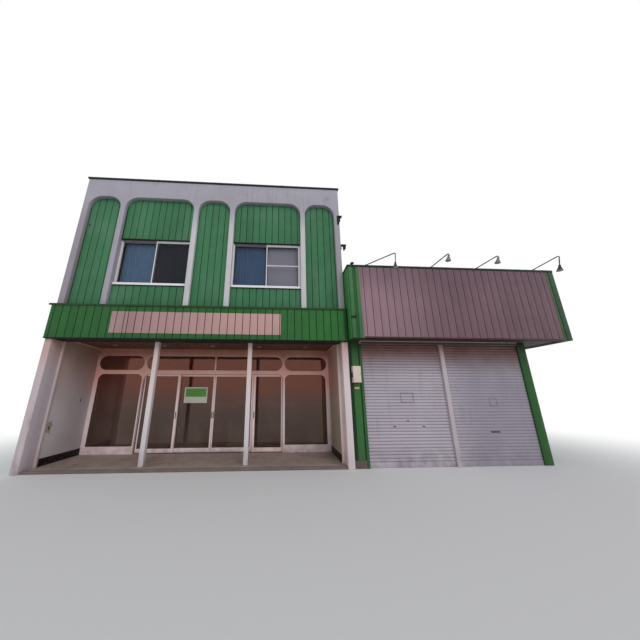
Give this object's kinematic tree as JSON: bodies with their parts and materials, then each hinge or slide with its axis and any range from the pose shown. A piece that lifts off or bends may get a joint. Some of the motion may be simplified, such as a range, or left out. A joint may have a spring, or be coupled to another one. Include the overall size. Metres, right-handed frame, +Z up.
{
  "type": "corner shop building",
  "caption": "Two-storey corner shop with an arched front frame over a glazed porch, and a lower annex with roller shutters under a deep fascia.",
  "frame": {"origin": "on the ground under the shop floor slab, at the shop block's centre line, in the plane of the upper front frame's face", "axes": "+X to the right along the front, +Y into the building, +Z up"},
  "size_m": [12.57, 8.7722, 7.485],
  "materials": {
    "shop_floor": "worn concrete",
    "left_side_wall": "ribbed painted siding",
    "right_side_wall": "ribbed painted siding",
    "rear_wall": "ribbed painted siding",
    "upper_front_wall": "ribbed painted siding",
    "upper_floor": "boarded",
    "roof_deck": "seamed sheet",
    "roof_coping": "dull",
    "facade_frame": "painted mortar",
    "upper_window_frames": "painted",
    "upper_window_glass": "clear",
    "canopy_fascia": "ribbed painted siding",
    "canopy_flashing": "dull",
    "sign_panel": "faded, bare",
    "porch_soffit": "painted boards",
    "downlights": "dull",
    "porch_posts": "white paint",
    "porch_pilasters": "painted mortar",
    "porch_skirting": "brown tile",
    "shopfront_left_bay": "painted",
    "shopfront_right_bay": "painted",
    "shopfront_head": "painted",
    "shopfront_glass": "clear",
    "door_sill": "worn",
    "annex_floor": "worn concrete",
    "annex_front_posts": "painted",
    "annex_side_wall": "ribbed painted siding",
    "annex_rear_wall": "ribbed painted siding",
    "annex_roof": "sheet",
    "annex_soffit": "grey boards",
    "annex_fascia": "ribbed painted siding, faded",
    "annex_fascia_ends": "ribbed painted siding",
    "annex_coping": "dull",
    "roller_shutters": "slatted steel",
    "shutter_surround": "painted",
    "sign_lamps": "dull",
    "meter_box": "faded",
    "outer_left_door": "painted",
    "outer_left_glass": "clear",
    "inner_left_door": "painted",
    "inner_left_glass": "clear",
    "inner_right_door": "painted",
    "inner_right_glass": "clear",
    "outer_right_door": "painted",
    "outer_right_glass": "clear"
  },
  "bodies": {
    "building": {"shop_floor": "shop_floor", "left_side_wall": "left_side_wall", "right_side_wall": "right_side_wall", "rear_wall": "rear_wall", "upper_front_wall": "upper_front_wall", "upper_floor": "upper_floor", "roof_deck": "roof_deck", "roof_coping": "roof_coping", "facade_frame": "facade_frame", "upper_window_frames": "upper_window_frames", "upper_window_glass": "upper_window_glass", "canopy_fascia": "canopy_fascia", "canopy_flashing": "canopy_flashing", "sign_panel": "sign_panel", "porch_soffit": "porch_soffit", "downlights": "downlights", "porch_posts": "porch_posts", "porch_pilasters": "porch_pilasters", "porch_skirting": "porch_skirting", "shopfront_left_bay": "shopfront_left_bay", "shopfront_right_bay": "shopfront_right_bay", "shopfront_head": "shopfront_head", "shopfront_glass": "shopfront_glass", "door_sill": "door_sill", "annex_floor": "annex_floor", "annex_front_posts": "annex_front_posts", "annex_side_wall": "annex_side_wall", "annex_rear_wall": "annex_rear_wall", "annex_roof": "annex_roof", "annex_soffit": "annex_soffit", "annex_fascia": "annex_fascia", "annex_fascia_ends": "annex_fascia_ends", "annex_coping": "annex_coping", "roller_shutters": "roller_shutters", "shutter_surround": "shutter_surround", "sign_lamps": "sign_lamps", "meter_box": "meter_box"},
    "outer_left_leaf": {"outer_left_door": "outer_left_door", "outer_left_glass": "outer_left_glass"},
    "inner_left_leaf": {"inner_left_door": "inner_left_door", "inner_left_glass": "inner_left_glass"},
    "inner_right_leaf": {"inner_right_door": "inner_right_door", "inner_right_glass": "inner_right_glass"},
    "outer_right_leaf": {"outer_right_door": "outer_right_door", "outer_right_glass": "outer_right_glass"}
  },
  "joints": [
    {"name": "outer_left_door_slide", "type": "slide", "parent": "building", "child": "outer_left_leaf", "axis": [-1, 0, 0], "range_m": [-0.9, 0]},
    {"name": "inner_left_door_slide", "type": "slide", "parent": "building", "child": "inner_left_leaf", "axis": [-1, 0, 0], "range_m": [0, 0.9]},
    {"name": "inner_right_door_slide", "type": "slide", "parent": "building", "child": "inner_right_leaf", "axis": [1, 0, 0], "range_m": [0, 0.85]},
    {"name": "outer_right_door_slide", "type": "slide", "parent": "building", "child": "outer_right_leaf", "axis": [1, 0, 0], "range_m": [-0.9, 0]}
  ]
}
